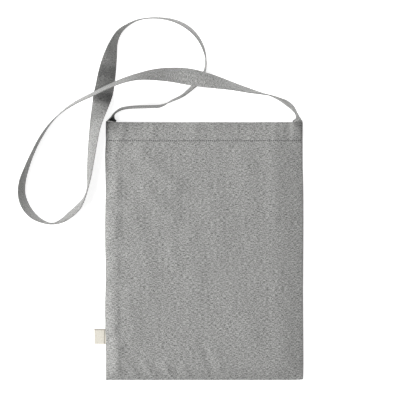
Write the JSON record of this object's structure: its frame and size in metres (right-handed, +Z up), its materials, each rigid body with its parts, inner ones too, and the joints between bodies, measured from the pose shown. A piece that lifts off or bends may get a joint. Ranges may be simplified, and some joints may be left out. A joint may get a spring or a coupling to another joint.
{
  "type": "cloth shoulder bag",
  "caption": "Flat open-topped shoulder bag of grey melange cotton with a hemmed mouth, a long flat cloth strap and a small bare side label.",
  "frame": {"origin": "middle of the bag's underside, on the surface it lies on", "axes": "+X across the bag to its right side, +Y from the bottom fold to the mouth, +Z up from the back panel to the front panel"},
  "size_m": [0.4035, 0.5124, 0.0452],
  "materials": {
    "cloth": "plain weave of dark and undyed cotton yarns, matt",
    "strap_cloth": "the same cloth folded to a flat strap, matt",
    "thread": "grey sewing thread",
    "label_tape": "undyed woven tape, bare"
  },
  "bodies": {
    "bag": {"back_panel": "cloth", "bottom_fold": "cloth", "back_hem": "cloth", "back_hem_stitching": "thread", "left_seam": "cloth", "right_seam": "cloth", "left_overlock": "thread", "right_overlock": "thread", "strap_tab_left": "strap_cloth", "strap_tab_right": "strap_cloth", "strap_loop": "strap_cloth"},
    "front": {"front_panel": "cloth", "front_hem": "cloth", "front_hem_stitching": "thread"},
    "strap": {"strap_rise": "strap_cloth", "strap_crown": "strap_cloth", "strap_front": "strap_cloth"},
    "label": {"side_label": "label_tape", "label_stitching": "thread"}
  },
  "joints": [
    {"name": "mouth_open", "type": "hinge", "parent": "bag", "child": "front", "pos_m": [0, -0.1825, 0.0075], "axis": [1, 0, 0], "range_deg": [0, 8]},
    {"name": "strap_lift", "type": "hinge", "parent": "bag", "child": "strap", "pos_m": [0, 0.1865, 0.0064], "axis": [1, 0, 0], "range_deg": [0, 50]},
    {"name": "label_flip", "type": "hinge", "parent": "bag", "child": "label", "pos_m": [-0.1403, -0.1215, 0.0026], "axis": [0, 1, 0], "range_deg": [0, 85]}
  ]
}
